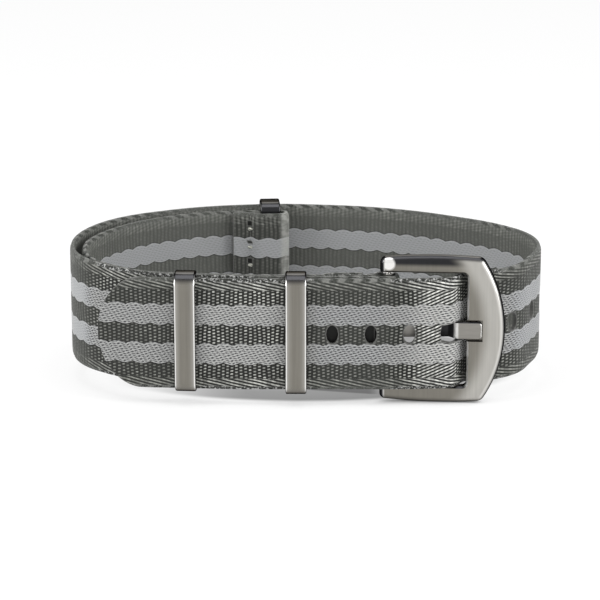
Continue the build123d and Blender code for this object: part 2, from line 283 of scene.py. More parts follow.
@dataclass(frozen=True)
class StrapPlan:
    """Sizes and places of the two straps, as the buckled loop holds them."""

    width: float = 19.8
    thickness: float = 1.0
    layer: float = 1.1
    clearance: float = 0.3
    loop_width: float = 82.7
    loop_depth: float = 43.2
    loop_shares: tuple[Point, ...] = (
        (-0.349, 0.027), (-0.475, 0.198), (-0.497, 0.434), (-0.461, 0.651), (-0.378, 0.823),
        (-0.235, 0.949), (-0.057, 1.0), (0.114, 0.978), (0.266, 0.885), (0.401, 0.724),
        (0.486, 0.555), (0.506, 0.358), (0.451, 0.121))
    slack: tuple[float, ...] = (0.0, 0.0, 0.8, 1.0, 2.0, 2.0)
    pin: Point = (14.5, 1.5)
    near_keeper: float = 15.8
    bend_reach: float = 25.0
    bend_radius: float = 40.0
    fold_radius: float = 1.5
    fold_flap: float = 9.0
    fold_ramp: Point = (3.6, 1.2)
    fold_seam: float = 5.6
    ramp_radius: float = 2.0
    window_length: float = 13.6
    frame_rise: float = math.radians(3.6)
    frame_half: float = 0.85
    under_bar_gap: float = 0.5
    under_bar_run: float = 4.2
    dive_start: float = 0.4
    dive_run: float = 2.4
    dive_radius: float = 1.5
    tail_reach: float = 49.7
    tail_end: float = 8.6
    tail_lift: float = math.radians(6.0)
    tail_radius: float = 20.0
    hole_pitch: float = 6.6
    hole_count: int = 9
    holes_past_tongue: int = 4
    hole_lead: float = 2.6
    tip_length: float = 7.8
    keeper_strip: float = 0.7
    keeper_width: float = 3.6
    short_ramp: Triple = (4.3, 9.9, 11.6)
    short_seam: float = 20.6
    rear_corner: int = 12
    rear_shift: float = 1.6
    rear_bar_gap: float = 0.35
    rear_lead: float = 11.0
    rear_lead_radius: float = 18.0
    rear_gap: float = 0.3
    rear_ramp: float = 1.4
    rear_flap: float = 3.2
    rear_row: float = 1.35
    rear_seam_inset: float = 3.25
    rear_pitch: float = 3.45
    rear_stitch: float = 1.7

    def front(self) -> list[Point]:
        """Front corner of the loop, and then the corners round the wrist."""
        around = [(self.loop_width * x, self.loop_depth * y) for x, y in self.loop_shares]
        return [(self.pin[0] - self.bend_reach, 0.0)] + around

    def lean(self) -> float:
        """Direction of the front webbing past its bend, under the far keeper."""
        return heading(*self.front()[:2])

    def main(self) -> Route:
        """Route of the long strap, from the end of its sewn fold to the tip of its tail."""
        pin, layer, roll = self.pin[0], self.layer, self.fold_radius
        front, lean = self.front(), self.lean()
        depth = (roll - self.window_length * math.sin(self.frame_rise)
                 + self.frame_half + self.under_bar_gap + self.thickness / 2)
        foot = (pin + self.window_length * math.cos(self.frame_rise) - self.dive_start, depth)
        tail_bend = beside([(pin, 0.0)] + front[:2], [layer] * 3)[1]
        run = (self.tail_reach - self.bend_reach) / -math.cos(lean) - self.tail_end
        knee = stepped(tail_bend, lean, run)
        tip = stepped(knee, lean - self.tail_lift, self.tail_end)
        ramp_foot, ramp_top = self.fold_ramp
        fold = [(pin - self.fold_flap, layer), (pin - ramp_foot, layer), (pin - ramp_top, roll * 2),
                (pin + roll, roll * 2), (pin + roll, 0.0)]
        dive = [(foot[0] + self.under_bar_run, depth), foot, (foot[0] - self.dive_run, -layer)]
        points = fold + front + dive + [tail_bend, knee, tip]
        last = len(points) - 1
        return Route.rounded(points, {
            1: self.ramp_radius, 2: self.ramp_radius, 3: roll, 4: roll, 5: self.bend_radius,
            last - 4: self.dive_radius, last - 3: self.dive_radius, last - 2: self.bend_radius,
            last - 1: self.tail_radius})

    def tongue_station(self) -> float:
        """Distance along the long strap to the hole that the tongue passes through."""
        route = self.main()
        foot = len(route.points) - 5
        return (route.station(foot) + route.station(foot + 1)) / 2

    def fold_station(self) -> float:
        """Distance along the long strap to the middle of its wrap round the spring bar."""
        route = self.main()
        return (route.station(3) + route.station(4)) / 2

    def rear_place(self) -> tuple[Point, float]:
        """Place of the rear keeper on the long strap, and the direction of travel there."""
        return self.main().near_corner(self.rear_corner, self.rear_shift)

    def in_rear(self, x: float, y: float) -> Point:
        """Point given along and across the webbing at the rear keeper, on the strap's plane."""
        origin, travel = self.rear_place()
        return stepped(stepped(origin, travel, x), travel + math.pi / 2, y)

    def rear_bar(self) -> tuple[float, float]:
        """Depth of the rear keeper's inner bar, and the radius of the wrap round it."""
        deep = 2 * self.layer + self.thickness + self.clearance * 2
        shift = self.thickness / 2 + self.rear_bar_gap - deep / 2
        wrap = self.keeper_strip / 2 + self.clearance + self.thickness / 2
        return shift - (deep + self.keeper_strip) / 2, wrap

    def short(self) -> Route:
        """Route of the short strap, from under the fold to its flap at the rear keeper."""
        pin, layer = self.pin[0], self.layer
        bar, wrap = self.rear_bar()
        end, start = self.keeper_width / 2 + wrap, -self.keeper_width / 2 - self.rear_gap
        sewn, ramp_end = bar + wrap - layer, start - self.rear_ramp
        front = [(pin - reach, layer * layers) for reach, layers in zip(self.short_ramp, (2, 2, 1))]
        guide = [(pin, 0.0)] + self.front()[:len(self.slack) + 1]
        inside = [-layer - slack for slack in self.slack]
        side = beside(guide, [0.0] + inside + [0.0])[1:-1]
        rear = [self.in_rear(*place) for place in (
            (-self.rear_lead, bar + wrap), (end, bar + wrap), (end, bar - wrap), (start, bar - wrap),
            (ramp_end, sewn), (ramp_end - self.rear_flap, sewn))]
        turn = len(front) + len(side) + 1
        return Route.rounded(front + side + rear, {
            1: self.ramp_radius, 2: self.ramp_radius, 3: self.bend_radius,
            turn - 1: self.rear_lead_radius, turn: wrap, turn + 1: wrap,
            turn + 2: self.ramp_radius / 2, turn + 3: self.ramp_radius / 2})

    def seams(self) -> list[Seam]:
        """The three seams, at the fold, on the short strap and at the rear keeper."""
        pin, layer, face = self.pin[0], self.layer, self.thickness / 2
        bar, wrap = self.rear_bar()
        behind = self.in_rear(-self.keeper_width / 2 - self.rear_gap - self.rear_row, 0.0)
        across = self.rear_place()[1] + math.pi / 2
        return [
            Seam("stitches_buckle_fold", "seam_buckle_fold", (pin - self.fold_seam, 0.0),
                 -math.pi / 2, face, -layer * 2 - face),
            Seam("stitches_short_strap", "seam_short_strap", (pin - self.short_seam, 0.0),
                 -math.pi / 2, face, -layer - face),
            Seam("stitches_rear_fold", "seam_rear_fold", behind, across, bar + wrap + face,
                 bar + wrap - layer - face, self.rear_stitch, self.rear_pitch, count=5,
                 thread=0.62, proud=0.3, rows=1, lengthways=True),
        ]

    def keepers(self) -> list[Keeper]:
        """The two front keepers and the rear one."""
        return [
            Keeper("keeper_near", "keeper_front_near", "near_keeper", math.pi, bottom=-11.2),
            Keeper("keeper_far", "keeper_front_far", "far_keeper", self.lean()),
            # The rear keeper's inner faces are painted in shade
            Keeper("keeper_behind", "keeper_rear", "rear_keeper", self.rear_place()[1], top=11.5,
                   depth=5.36, strip=0.62, corner=1.6, dark_back=True),
        ]


# Making pieces


def clear_selection() -> None:
    """Leaves edit mode and deselects every object."""
    if bpy.context.object and bpy.context.object.mode != "OBJECT":
        bpy.ops.object.mode_set(mode="OBJECT")
    bpy.ops.object.select_all(action="DESELECT")


def take(piece: bpy.types.Object) -> None:
    """Makes a piece the only one selected, and the active one."""
    clear_selection()
    piece.select_set(True)
    bpy.context.view_layer.objects.active = piece


@dataclass
class Bench:
    """Holds one piece in edit mode, and picks its elements by their place."""

    piece: bpy.types.Object

    def __enter__(self) -> Bench:
        """Opens the piece in edit mode with nothing picked."""
        take(self.piece)
        bpy.ops.object.mode_set(mode="EDIT")
        bpy.ops.mesh.select_all(action="DESELECT")
        return self

    def __exit__(self, *_: object) -> None:
        """Puts the piece back in object mode."""
        bpy.ops.object.mode_set(mode="OBJECT")

    def pick(self, part: Part, test: Callable[[object], bool]) -> int:
        """Picks the elements that pass a test, and nothing else.

        Args:
            part: Kind of element.
            test: Takes a mesh element and says whether it is picked.

        Returns:
            The number picked.
        """
        bpy.ops.mesh.select_mode(type=part.value)
        bpy.ops.mesh.select_all(action="DESELECT")
        mesh = bmesh.from_edit_mesh(self.piece.data)
        rows = {Part.VERT: mesh.verts, Part.EDGE: mesh.edges, Part.FACE: mesh.faces}[part]
        found = [item for item in rows if test(item)]
        for item in found:
            item.select_set(True)
        mesh.select_flush_mode()
        bmesh.update_edit_mesh(self.piece.data)
        return len(found)

    def picked(self) -> list[Vector]:
        """Places of the picked vertices."""
        mesh = bmesh.from_edit_mesh(self.piece.data)
        return [vert.co.copy() for vert in mesh.verts if vert.select]


def finish_with(piece: bpy.types.Object, kind: str, **settings: object) -> None:
    """Adds one modifier to a piece and applies it.

    Args:
        piece: The piece.
        kind: Blender's name of the modifier's type.
        **settings: Values of the modifier's settings.
    """
    take(piece)
    modifier = piece.modifiers.new(kind.title(), kind)
    for key, value in settings.items():
        setattr(modifier, key, value)
    bpy.ops.object.modifier_apply(modifier=modifier.name)


def settle(piece: bpy.types.Object, origin: Vector) -> None:
    """Moves a finished piece from the strap's plane to its place, into its mesh."""
    take(piece)
    piece.location = origin
    bpy.ops.object.transform_apply(location=True, rotation=True, scale=True)


# Finishes


def toned(colour: Colour, factor: float) -> Colour:
    """Colour with each channel scaled."""
    return tuple(channel * factor for channel in colour)


class Wire:
    """Output of a node, which takes sums as a number does."""

    def __init__(self, nodes: Nodes, socket: bpy.types.NodeSocket) -> None:
        """Holds a socket and the tree that it is in."""
        self.nodes, self.socket = nodes, socket

    def __add__(self, other: Wire | float) -> Wire:
        """Sum with a wire or a number."""
        return self.nodes.math("ADD", self, other)

    def __sub__(self, other: Wire | float) -> Wire:
        """Difference from a wire or a number."""
        return self.nodes.math("SUBTRACT", self, other)

    def __rsub__(self, other: float) -> Wire:
        """Difference of a number from this wire."""
        return self.nodes.math("SUBTRACT", other, self)

    def __mul__(self, other: Wire | float) -> Wire:
        """Product with a wire or a number."""
        return self.nodes.math("MULTIPLY", self, other)

    def __truediv__(self, other: float) -> Wire:
        """Share of a number."""
        return self.nodes.math("DIVIDE", self, other)

    def __abs__(self) -> Wire:
        """Size without its sign."""
        return self.nodes.math("ABSOLUTE", self)

    def at_least(self, other: Wire) -> Wire:
        """The larger of two wires."""
        return self.nodes.math("MAXIMUM", self, other)

    def ramp(self, start: float, end: float) -> Wire:
        """Smooth step from 0 at one value to 1 at another."""
        inputs = {0: self, 1: start, 2: end, 3: 0.0, 4: 1.0}
        return self.nodes.out("ShaderNodeMapRange", 0, inputs, interpolation_type="SMOOTHSTEP")

    def wave(self) -> Wire:
        """Wave that is 1 at each whole number and 0 halfway between."""
        return self.nodes.math("COSINE", self * math.tau) * 0.5 + 0.5


class Nodes:
    """Builds the node tree of one material."""

    def __init__(self, name: str) -> None:
        """Starts an empty material."""
        self.material = bpy.data.materials.new(name)
        self.material.use_nodes = True
        self.tree = self.material.node_tree
        self.tree.nodes.clear()

    def add(self, kind: str, inputs: dict[str | int, object] | None = None,
            **settings: object) -> bpy.types.Node:
        """Adds a node.

        Args:
            kind: Type of the node.
            inputs: A wire to link or a value to set, for each input.
            **settings: Values of the node's own settings.

        Returns:
            The node.
        """
        node = self.tree.nodes.new(kind)
        for key, value in settings.items():
            setattr(node, key, value)
        for key, value in (inputs or {}).items():
            if isinstance(value, Wire):
                self.tree.links.new(value.socket, node.inputs[key])
            else:
                node.inputs[key].default_value = value
        return node

    def out(self, kind: str, output: str | int, inputs: dict[str | int, object] | None = None,
            **settings: object) -> Wire:
        """Adds a node and takes one of its outputs."""
        return Wire(self, self.add(kind, inputs, **settings).outputs[output])

    def math(self, operation: str, *values: Wire | float, clamp: bool = False) -> Wire:
        """One sum on wires or numbers."""
        inputs = dict(enumerate(values))
        return self.out("ShaderNodeMath", 0, inputs, operation=operation, use_clamp=clamp)

    def blend(self, share: Wire, first: Wire | float, second: Wire | float) -> Wire:
        """Number between two others."""
        return self.out("ShaderNodeMix", 0, {0: share, 2: first, 3: second})

    def tint(self, share: Wire | float, first: Wire | Colour, second: Wire | Colour,
             how: str = "MIX") -> Wire:
        """Colour between two others."""
        colours = [c if isinstance(c, Wire) else (*c, 1.0) for c in (first, second)]
        return self.out("ShaderNodeMix", 2, {0: share, 6: colours[0], 7: colours[1]},
                        data_type="RGBA", blend_type=how)

    def dimmed(self, colour: Wire, tone: Wire) -> Wire:
        """Colour darkened by a tone, from 0 to 1."""
        grey = self.out("ShaderNodeCombineColor", 0, {0: tone, 1: tone, 2: tone})
        return self.tint(1.0, colour, grey, "MULTIPLY")

    def place(self) -> Wire:
        """Coordinates of the piece's own mesh, in metres."""
        return self.out("ShaderNodeTexCoord", "Object")

    def attribute(self, name: str, output: str = "Fac") -> Wire:
        """One of the mesh's own attributes."""
        return self.out("ShaderNodeAttribute", output, attribute_name=name)

    def split(self, vector: Wire) -> list[Wire]:
        """The three parts of a vector."""
        return [Wire(self, part) for part in self.add("ShaderNodeSeparateXYZ", {0: vector}).outputs]

    def away(self, place: Wire, point: Triple) -> Wire:
        """Distance of a place from a point."""
        return self.out("ShaderNodeVectorMath", "Value", {0: place, 1: point}, operation="DISTANCE")

    def agreement(self, normal: Wire, direction: Triple) -> Wire:
        """How far two directions agree, from -1 to 1."""
        return self.out("ShaderNodeVectorMath", "Value", {0: normal, 1: direction},
                        operation="DOT_PRODUCT")

    def openness(self, distance: float, samples: int) -> Wire:
        """Share of the nearby space that is open, from 0 in a nook to 1."""
        return self.out("ShaderNodeAmbientOcclusion", "AO", {"Distance": distance}, samples=samples)

    def noise(self, place: Wire, scale: float, detail: float = 2.0, rough: float = 0.5) -> Wire:
        """Soft noise from 0 to 1."""
        return self.out("ShaderNodeTexNoise", "Fac", {"Vector": place, "Scale": scale,
                                                      "Detail": detail, "Roughness": rough})

    def stretched(self, place: Wire, scale: Triple) -> Wire:
        """Coordinates with each direction scaled."""
        return self.out("ShaderNodeMapping", 0, {"Vector": place, "Scale": scale})

    def close(self, inputs: dict[str, object], height: Wire, depth: float) -> bpy.types.Material:
        """Ends the tree in its shader.

        Args:
            inputs: Values and wires of the shader.
            height: Relief, from 0 to 1.
            depth: Depth of the relief, in metres.

        Returns:
            The material.
        """
        bump = self.out("ShaderNodeBump", 0, {"Strength": 1.0, "Distance": depth, "Height": height})
        shader = self.out("ShaderNodeBsdfPrincipled", 0, {**inputs, "Normal": bump})
        self.add("ShaderNodeOutputMaterial", {"Surface": shader})
        return self.material


@dataclass(frozen=True)
class StripedNylon:
    """Twilled nylon webbing in two greys, with scalloped stripes, melted cut edges, and painted light
    and shade.
    """

    dark: Colour = (0.011, 0.012, 0.010)
    # The soft tones are for the inner face and for places painted in shade
    soft_dark: Colour = (0.078, 0.081, 0.073)
    # Tone of the float crests, a painted highlight
    float_highlight: Colour = (0.33, 0.335, 0.305)
    # Painted glints
    painted_glint: Colour = (0.78, 0.78, 0.74)
    shade: Colour = (0.04, 0.041, 0.043)
    light: Colour = (0.318, 0.32, 0.314)
    soft_light: Colour = (0.3, 0.307, 0.312)
    # Painted highlight where a fold turns to the light; its grey also tints the selvedge's cord
    fold_highlight: Colour = (0.36, 0.365, 0.34)
    melted: Colour = (0.1, 0.1, 0.095)
    stripe_middle: float = 3.5
    stripe_half: float = 1.8
    scallop: float = 3.07
    scallop_depth: float = 0.2
    scallop_lag: float = 0.42
    herringbone: float = 7.9
    pick: float = 0.78
    rib: float = 0.573
    steep: float = 0.42
    float_slant: float = 0.1
    shallow: float = 0.245
    fine_rib: float = 0.4
    selvedge: float = 9.3
    cable: float = 2.7
    twist: float = 1.53
    # Reach of the painted shade in nooks
    nook_shade_reach: float = 0.0009
    depth: float = 0.00009

    def make(self) -> bpy.types.Material:
        """Builds the webbing's material, which reads the mesh's own weave attributes."""
        n = Nodes("striped_nylon")
        place = n.attribute("weave", "Vector")
        sealed_and_painted, glint_and_shade = n.attribute("sealed_and_painted"), n.attribute("glint_and_shade")
        flat_along, flat_across, through = n.split(place)
        inner = through.ramp(0.2, -0.2)
        # The weave is drawn dim on the inner face and where shade is painted, with calmer yarns
        back_face_and_shade = (inner * 0.85).at_least(glint_and_shade * -1.0)
        smooth = inner.at_least(glint_and_shade.ramp(-0.65, -0.95))
        # Heat seals, the painted highlight at a fold, and painted shade
        melted, fold_highlight, deep_shade = sealed_and_painted.ramp(0.45, 0.9), sealed_and_painted.ramp(-0.2, -0.9), sealed_and_painted.ramp(1.1, 1.8)
        along = n.noise(place, 0.3, 1.0) * 0.5 + flat_along
        across = n.noise(place, 0.5, 1.0) * 0.14 + flat_across - 0.07

        # Scalloped stripes, whose two edges wave nearly together
        off = across - n.math("SIGN", across) * self.stripe_middle
        swing = n.math("LESS_THAN", off, 0.0) * self.scallop_lag + along / self.scallop
        lobe = abs(n.math("SINE", swing * math.pi))
        reach = lobe * (self.scallop_depth * 2) + (self.stripe_half - self.scallop_depth * 1.3)
        inset = reach - abs(off)
        stripe = inset.ramp(-0.05, 0.05)

        border = abs(across).ramp(self.herringbone - 0.06, self.herringbone + 0.06)
        twill, chance = self.twill(n, (along, across), border, glint_and_shade.ramp(0.3, 0.95), smooth)
        ribs = self.ribs(n, (along, across), (off, lobe), smooth)

        # Colour of the two greys and of the gaps between their yarns: float crests painted light as
        # highlights, gaps painted dark as shade
        drift = n.noise(place, 0.11, 2.0).ramp(0.25, 0.75)
        spark = (chance * 0.7 + 0.5) * (drift * 0.55 + 0.6)
        # Painted glints brighten the float crests, and painted shade dims them
        crest = n.tint(glint_and_shade, self.float_highlight, self.painted_glint)
        crest = n.tint(back_face_and_shade * (border * -0.45 + 1.0), crest, toned(self.float_highlight, 0.36))
        ground = n.tint((back_face_and_shade * 0.35).at_least(inner), self.dark, self.soft_dark)
        dark = n.tint(n.math("MULTIPLY", twill, spark, clamp=True), ground, crest)
        # Painted shade: the dark band darkens towards the light band's edge
        dark = n.dimmed(dark, inset.ramp(0.0, -0.24) * 0.75 + 0.25)
        # Painted glints and painted shade on the light band as well
        pale = n.tint(glint_and_shade * 0.25, self.light, self.painted_glint)
        pale = n.tint(back_face_and_shade.ramp(0.35, 0.85), pale, self.soft_light)
        light = n.tint(ribs, self.shade, pale)
        # Painted highlight: a brighter line along each edge of the light band
        bright = abs(inset - 0.14).ramp(0.12, 0.0)
        light = n.tint(bright * 0.4, light, toned(self.light, 1.25))
        colour = n.tint(stripe, dark, light)

        # Selvedge: bright specks of turned yarn outside, painted as highlights; a cabled cord inside
        # and where shade is painted
        speck = ((along + through) / self.twist).wave() * 0.07 + n.noise(place, 2.6, 2.0, 0.6)
        speck = speck.ramp(0.53, 0.66)
        turns = ((through * 1.6 + (along + across)) / self.cable).wave()
        cabled = n.tint(turns.ramp(0.3, 0.8), toned(self.dark, 2.5), toned(self.fold_highlight, 0.5))
        cabled = n.tint(n.noise(place, 0.045, 1.0).ramp(0.42, 0.6), cabled, self.soft_dark)
        fringe = n.tint(speck, self.dark, toned(self.light, 1.2))
        fringe = n.tint(back_face_and_shade.ramp(0.0, 0.6) * 0.85, fringe, cabled)
        fuzz = abs(across).ramp(self.selvedge - 0.15, self.selvedge + 0.3)
        colour = n.tint(fuzz * 0.9, colour, fringe)

        # Heat seals; a painted highlight where a fold turns to the light; painted shade at stitches,
        # under the tail and in nooks
        patchy = n.noise(place, 1.4, 2.0).ramp(0.35, 0.65) * 0.3 + 0.42
        colour = n.tint(fold_highlight * patchy, colour, self.fold_highlight)
        colour = n.tint(melted * 0.8, colour, self.melted)
        colour = n.tint(deep_shade, colour, toned(self.dark, 0.5))
        # Painted shade in nooks, where little space is open nearby
        colour = n.dimmed(colour, n.openness(self.nook_shade_reach, 4).ramp(0.1, 0.85) * 0.82 + 0.18)

        relief = n.blend(stripe, twill, ribs * 0.6 + 0.3)
        relief = n.blend(fuzz, relief, speck)
        relief = n.blend(melted, relief, 0.55)
        return n.close({"Base Color": colour, "Roughness": relief * -0.2 + 0.6,
                        "Specular IOR Level": 0.22}, relief, self.depth)

    def twill(self, n: Nodes, spot: tuple[Wire, Wire], border: Wire, glint_zone: Wire,
              smooth: Wire) -> tuple[Wire, Wire]:
        """Dark twill: floats stand in columns, and slant into long lines along the borders.

        Args:
            n: The material's nodes.
            spot: Distances along and across the webbing.
            border: Share that is 1 along the borders.
            glint_zone: Share that is 1 where glints are painted.
            smooth: Share that is 1 on the inner face and where shade is painted, where the weave is
                drawn calm.

        Returns:
            The height of the yarns, and a number by chance for each float.
        """
        along, across = spot
        pick = along / self.pick
        column = n.math("ROUND", pick)
        slant = n.blend(glint_zone, self.float_slant, self.steep)
        lean = column * (self.steep * self.pick) + (pick - column) * (slant * self.pick)
        edge = along * -self.shallow + across
        rib = n.blend(border, (across + lean) / self.rib, edge / self.rib)
        ridge = rib.wave().ramp(0.3, 0.9)
        run_on = (border * 0.75).at_least(glint_zone * 0.6)
        crown = n.blend(run_on, pick.wave().ramp(0.12, 0.8), 1.0)
        ribbed = pick.wave().ramp(0.0, 1.0) * 0.55
        cell = n.out("ShaderNodeCombineXYZ", 0, {0: column, 1: n.math("ROUND", rib)})
        chance = n.out("ShaderNodeTexWhiteNoise", "Value", {"Vector": cell}, noise_dimensions="2D")
        return n.blend(smooth * 0.75, ridge * crown, ribbed), chance

    def ribs(self, n: Nodes, spot: tuple[Wire, Wire], band: tuple[Wire, Wire], smooth: Wire) -> Wire:
        """Light band: fine ribs that follow the stripe's wave, 1 on a yarn and 0 between.

        Args:
            n: The material's nodes.
            spot: Distances along and across the webbing.
            band: Distance off the stripe's middle, and the wave of its edge.
            smooth: Share that is 1 on the inner face and where shade is painted, where the weave is
                drawn calm.

        Returns:
            The height of the yarns.
        """
        along, across = spot
        off, lobe = band
        zigzag = n.math("PINGPONG", along - across * 0.9, self.pick)
        fine = (zigzag * 0.3 + (off - (lobe - 0.5) * (off * 0.16))) / self.fine_rib
        breaks = (along / self.pick - off * 0.8).wave().ramp(0.0, 0.7)
        gap = (1.0 - fine.wave().ramp(0.12, 0.9)) * (breaks * 0.65 + 0.35)
        return gap * (smooth * 0.75 - 1.0) + 1.0


@dataclass(frozen=True)
class BrushedSteel:
    """Steel with brushed broad faces, and with painted reflections: bevels and rounded edges painted
    bright and dark.
    """

    name: str
    outward: Triple
    along: Triple
    grain: Triple = (2600.0, 2600.0, 60.0)
    face: Colour = (0.21, 0.199, 0.174)
    # Colours of painted reflections: highlights on crown, rounded edges and bevels, shade on faces
    # looking down, away or inwards
    lit: Colour = (0.44, 0.428, 0.4)
    rounded: Colour = (0.62, 0.61, 0.58)
    bevel_highlight: Colour = (0.84, 0.83, 0.81)
    low: Colour = (0.2, 0.19, 0.175)
    shadow: Colour = (0.03, 0.03, 0.032)
    top: Colour = (0.32, 0.31, 0.295)
    grazing: tuple[float, float, float, float] = (0.0, 0.0, 0.0, 1.0)
    tilted_rough: float = 0.2
    polished_rough: float = 0.14
    matte: float = 0.0
    # Reach of the painted shade in nooks
    nook_shade: float = 0.0
    dark_back: bool = False
    dark_above: float | None = None
    crown: tuple[Triple, float, float] | None = None
    # Painted shade on the arm ends, painted highlights at the glints, and painted shade on the tongue's
    # shank
    ends: tuple[Triple, ...] = ()
    glints: tuple[Triple, ...] = ()
    shank_shade: tuple[Triple, float, float] | None = None
    scratch: float = 0.000006

    def make(self) -> bpy.types.Material:
        """Builds the steel's material, which tells faces from edges by their direction."""
        n = Nodes(self.name)
        place, normal = n.place(), n.out("ShaderNodeTexCoord", "Normal")
        facing, side = n.agreement(normal, self.outward), n.agreement(normal, self.along)
        flat = abs(facing).ramp(0.95, 0.998)
        lines = n.noise(n.stretched(place, self.grain), 1.0, 3.0, 0.6)
        colour = self.shape(n, place, (facing, side, n.split(normal)[2]))
        tone = lines * 0.34 + (n.noise(place, 260.0, 2.0) * 0.12 + 0.78)
        colour = n.tint(flat, colour, n.dimmed(colour, tone))
        rough = n.blend(flat, self.tilted_rough, lines * 0.12 + 0.32)
        # Painted highlights: bright, smoother spots at the glints
        for end in self.glints:
            glint_spot = n.away(place, end).ramp(1.3 * MM, 0.8 * MM)
            colour = n.tint(glint_spot, colour, self.bevel_highlight)
            rough = n.blend(glint_spot, rough, self.polished_rough)
        # Painted shade: dark crescents on the rounded arm ends
        for end in self.ends:
            end_shade = n.away(place, end).ramp(2.6 * MM, 2.0 * MM) * side.ramp(-0.12, -0.5)
            colour = n.tint(end_shade, colour, self.shadow)
        # Painted shade in nooks, where little space is open nearby
        if self.nook_shade:
            colour = n.dimmed(colour, n.openness(self.nook_shade, 8).ramp(0.35, 0.8) * 0.92 + 0.08)
        # Painted shade on the tongue's shank where it runs under the webbing
        if self.shank_shade:
            start, near, far = self.shank_shade
            away = n.away(place, start)
            inside = away.ramp(near, near + 1.2 * MM) * away.ramp(far, far - 0.5 * MM)
            colour = n.tint(inside, colour, self.shadow)
        metal = side.ramp(-0.3, -0.65) * -self.matte + 1.0 if self.matte else 1.0
        # Black specular tint: faces seen edge-on look dark, a painted dark reflection
        return n.close({"Base Color": colour, "Roughness": rough, "Metallic": metal,
                        "Specular Tint": self.grazing}, lines * flat, self.scratch)

    def shape(self, n: Nodes, place: Wire, turns: tuple[Wire, Wire, Wire]) -> Wire:
        """Painted reflection and shade: colour by where a face looks, as steel would mirror a pale room
        with dark sides.

        Args:
            n: The material's nodes.
            place: Coordinates of the piece.
            turns: How far the face looks outwards, along the strap and up.

        Returns:
            The colour before brushing.
        """
        facing, side, tall = turns
        # Painted highlight towards the crown's outer arc, bevels painted bright, the far rounded edge
        # painted dark
        if self.crown:
            centre, inner, outer = self.crown
            away = n.away(place, centre)
            face = n.tint(away.ramp(inner, outer), self.face, self.lit)
            bevel = n.tint(side.ramp(-0.05, 0.05), self.bevel_highlight, self.rounded)
            colour = n.tint(abs(side).ramp(0.04, 0.35), face, bevel)
            colour = n.tint(side.ramp(0.4, 0.85), colour, self.shadow)
        else:
            # Bevels painted bright, and faces turned fully sideways painted dark
            colour = n.tint(abs(side).ramp(0.04, 0.35), self.face, self.bevel_highlight)
            colour = n.tint(abs(side).ramp(0.8, 0.97), colour, self.low)
        # Painted shade on faces that look down and on bends that turn up; flat tops keep plain steel
        colour = n.tint((tall * -1.0).ramp(0.15, 0.8), colour, self.low)
        colour = n.tint(tall.ramp(0.2, 0.7), colour, self.shadow)
        colour = n.tint(tall.ramp(0.9, 0.985), colour, self.top)
        # Painted shade on the inner faces
        if self.dark_back:
            colour = n.tint(facing.ramp(-0.2, -0.7), colour, self.shadow)
        # Painted shade in a band along the top edge
        if self.crown and self.dark_above:
            edge = n.split(place)[2].ramp(self.dark_above, self.dark_above + 0.9 * MM)
            arm = away.ramp(outer - 0.6 * MM, outer - 3.0 * MM) * facing.ramp(0.0, 0.5)
            colour = n.tint(edge * arm, colour, self.shadow)
        return colour


@dataclass(frozen=True)
class TurnedSteel:
    """Bright steel of the spring bar, with fine rings left by turning."""

    colour: Colour = (0.6, 0.59, 0.57)

    def make(self) -> bpy.types.Material:
        """Builds the turned steel's material."""
        n = Nodes("turned_steel")
        rings = n.noise(n.stretched(n.place(), (90.0, 90.0, 9000.0)), 1.0, 2.0)
        colour = n.tint(rings, toned(self.colour, 0.75), self.colour)
        return n.close({"Base Color": colour, "Roughness": rings * 0.15 + 0.14, "Metallic": 1.0},
                       rings, 0.000004)


@dataclass(frozen=True)
class SewingThread:
    """Twisted thread."""

    name: str = "dark_thread"
    colour: Colour = (0.06, 0.062, 0.056)

    def make(self) -> bpy.types.Material:
        """Builds the thread's material."""
        n = Nodes(self.name)
        plies = n.out("ShaderNodeTexWave", "Fac",
                      {"Vector": n.stretched(n.place(), (700.0, 700.0, 1400.0)),
                       "Scale": 1.0, "Distortion": 1.5}, bands_direction="DIAGONAL")
        colour = n.tint(plies, toned(self.colour, 0.5), toned(self.colour, 1.5))
        return n.close({"Base Color": colour, "Roughness": 0.55, "Sheen Weight": 0.2},
                       plies, 0.00003)


# The straps


